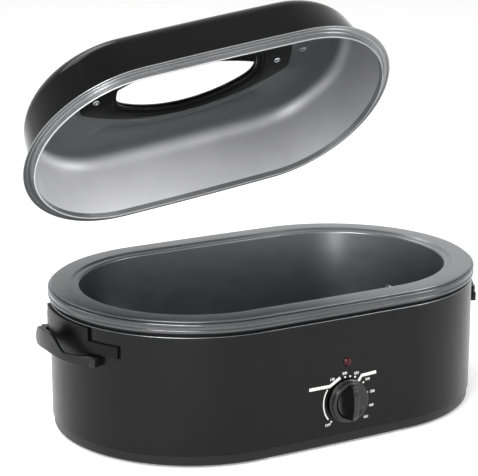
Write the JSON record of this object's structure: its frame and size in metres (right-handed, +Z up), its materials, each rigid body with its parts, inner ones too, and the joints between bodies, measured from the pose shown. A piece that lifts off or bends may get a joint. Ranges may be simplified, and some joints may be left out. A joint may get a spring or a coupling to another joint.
{
  "type": "electric roaster oven",
  "caption": "Oval countertop roaster oven with a lift-out steel pan and rack, end handles, a front temperature knob and a domed lid with a long glass window.",
  "frame": {"origin": "on the table, under the middle of the base", "axes": "+X to the right along the length, +Y to the back, +Z up; the knob is on the -Y side"},
  "size_m": [0.606, 0.4068, 0.5051],
  "materials": {
    "black_body": "satin black enamel on drawn steel",
    "bright_rim": "bright rolled steel trim",
    "black_ring": "black moulded plastic, low gloss",
    "zinc_sheet": "zinc-plated sheet steel",
    "aluminised_sheet": "aluminised steel, heat-dulled",
    "pan_steel": "satin drawn steel",
    "rack_chrome": "bright plated wire",
    "black_phenolic": "black phenolic moulding",
    "lid_enamel": "gloss black enamel outside, bare satin steel inside",
    "clear_glass": "clear tempered glass",
    "seal_rubber": "black silicone",
    "foot_rubber": "black rubber",
    "screw_steel": "plated steel fasteners",
    "heater_jacket": "steel jacket of the band heater",
    "glass_fibre": "white glass-fibre blanket",
    "thermostat_case": "cream ceramic-filled phenolic",
    "red_lens": "clear red jewel lens",
    "lamp_glass": "small neon lamp envelope",
    "copper_bulb": "copper bulb and capillary",
    "fuse_sleeve": "woven glass sleeve over the fuse",
    "grommet_rubber": "black grommet",
    "wire_live": "brown high-temperature insulation",
    "wire_neutral": "blue high-temperature insulation",
    "wire_earth": "green and yellow insulation",
    "wire_white": "white lamp leads"
  },
  "bodies": {
    "base": {"housing_wall": "black_body", "top_rim": "bright_rim", "base_ring": "black_ring", "bottom_cover": "zinc_sheet", "thermostat_bracket": "zinc_sheet", "element_clips": "zinc_sheet", "well_clips": "zinc_sheet", "lens_nut": "zinc_sheet", "heating_well": "aluminised_sheet", "left_handle": "black_phenolic", "right_handle": "black_phenolic", "left_handle_plate": "black_phenolic", "right_handle_plate": "black_phenolic", "feet": "foot_rubber", "handle_screws": "screw_steel", "cover_screws": "screw_steel", "foot_screws": "screw_steel", "thermostat_nut": "screw_steel", "earth_stud": "screw_steel", "element_terminals": "screw_steel", "heating_element": "heater_jacket", "insulation": "glass_fibre", "thermostat": "thermostat_case", "terminal_block": "thermostat_case", "indicator_lens": "red_lens", "neon_lamp": "lamp_glass", "sensing_bulb": "copper_bulb", "thermal_fuse": "fuse_sleeve", "cord_grommet": "grommet_rubber", "live_wire": "wire_live", "switched_wire": "wire_live", "element_wire": "wire_live", "neutral_wire": "wire_neutral", "earth_wire": "wire_earth", "lamp_leads": "wire_white"},
    "knob": {"knob": "black_phenolic", "thermostat_shaft": "screw_steel", "knob_spring": "screw_steel"},
    "pan": {"insert_pan": "pan_steel"},
    "rack": {"rack": "rack_chrome", "left_rack_loop": "rack_chrome", "right_rack_loop": "rack_chrome"},
    "lid": {"lid_shell": "lid_enamel", "window_glass": "clear_glass", "window_seal": "seal_rubber", "window_frame": "black_phenolic", "window_bezel": "black_phenolic", "lid_handle": "black_phenolic", "lid_screws": "screw_steel"}
  },
  "joints": [
    {"name": "knob_turn", "type": "hinge", "parent": "base", "child": "knob", "pos_m": [0.01, -0.1758, 0.057], "axis": [0, -1, 0], "range_deg": [-145, 145]},
    {"name": "pan_lift", "type": "slide", "parent": "base", "child": "pan", "axis": [0, 0, 1], "range_m": [0, 0.15]},
    {"name": "lid_tilt", "type": "hinge", "parent": "pan", "child": "lid", "pos_m": [0, 0.2106, 0.2044], "axis": [0.9761, 0.1009, 0.1925], "range_deg": [0, 53]},
    {"name": "rack_lift", "type": "slide", "parent": "pan", "child": "rack", "axis": [0, 0, 1], "range_m": [0, 0.12]}
  ]
}
